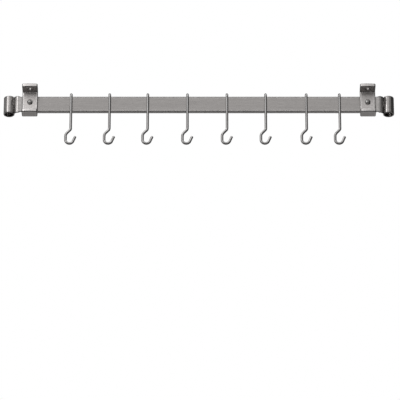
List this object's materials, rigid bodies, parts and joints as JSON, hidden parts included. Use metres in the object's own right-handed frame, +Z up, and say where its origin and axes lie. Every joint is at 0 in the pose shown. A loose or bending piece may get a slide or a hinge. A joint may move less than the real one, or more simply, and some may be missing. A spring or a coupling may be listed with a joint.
{
  "type": "wall mounted pot rack",
  "caption": "Flat steel wall bar with rolled ends, held by two C-shaped brackets and screws, with sliding wire hooks for pots and pans.",
  "frame": {"origin": "on the wall plane, midway between the two wall screws, at half the bar's height", "axes": "+X along the bar to the viewer's right, +Y into the wall, +Z up"},
  "size_m": [0.941, 0.0952, 0.1514],
  "materials": {
    "brushed_bar": "brushed along its length, slightly dark",
    "brushed_bracket": "satin, lighter than the bar",
    "screw_steel": "plain satin steel",
    "spacer_steel": "turned steel",
    "hook_wire": "polished wire"
  },
  "bodies": {
    "rack": {"bar": "brushed_bar", "left_bracket": "brushed_bracket", "left_wall_screw": "screw_steel", "left_spacer": "spacer_steel", "right_bracket": "brushed_bracket", "right_wall_screw": "screw_steel", "right_spacer": "spacer_steel"},
    "hook_1": {"hook_1": "hook_wire"},
    "hook_2": {"hook_2": "hook_wire"},
    "hook_3": {"hook_3": "hook_wire"},
    "hook_4": {"hook_4": "hook_wire"},
    "hook_5": {"hook_5": "hook_wire"},
    "hook_6": {"hook_6": "hook_wire"},
    "hook_7": {"hook_7": "hook_wire"},
    "hook_8": {"hook_8": "hook_wire"}
  },
  "joints": [
    {"name": "hook_1_slide", "type": "slide", "parent": "rack", "child": "hook_1", "axis": [1, 0, 0], "range_m": [-0.076, 0.031]},
    {"name": "hook_2_slide", "type": "slide", "parent": "rack", "child": "hook_2", "axis": [1, 0, 0], "range_m": [-0.031, 0.03]},
    {"name": "hook_3_slide", "type": "slide", "parent": "rack", "child": "hook_3", "axis": [1, 0, 0], "range_m": [-0.03, 0.032]},
    {"name": "hook_4_slide", "type": "slide", "parent": "rack", "child": "hook_4", "axis": [1, 0, 0], "range_m": [-0.032, 0.032]},
    {"name": "hook_5_slide", "type": "slide", "parent": "rack", "child": "hook_5", "axis": [1, 0, 0], "range_m": [-0.032, 0.031]},
    {"name": "hook_6_slide", "type": "slide", "parent": "rack", "child": "hook_6", "axis": [1, 0, 0], "range_m": [-0.031, 0.033]},
    {"name": "hook_7_slide", "type": "slide", "parent": "rack", "child": "hook_7", "axis": [1, 0, 0], "range_m": [-0.033, 0.024]},
    {"name": "hook_8_slide", "type": "slide", "parent": "rack", "child": "hook_8", "axis": [1, 0, 0], "range_m": [-0.024, 0.045]}
  ]
}
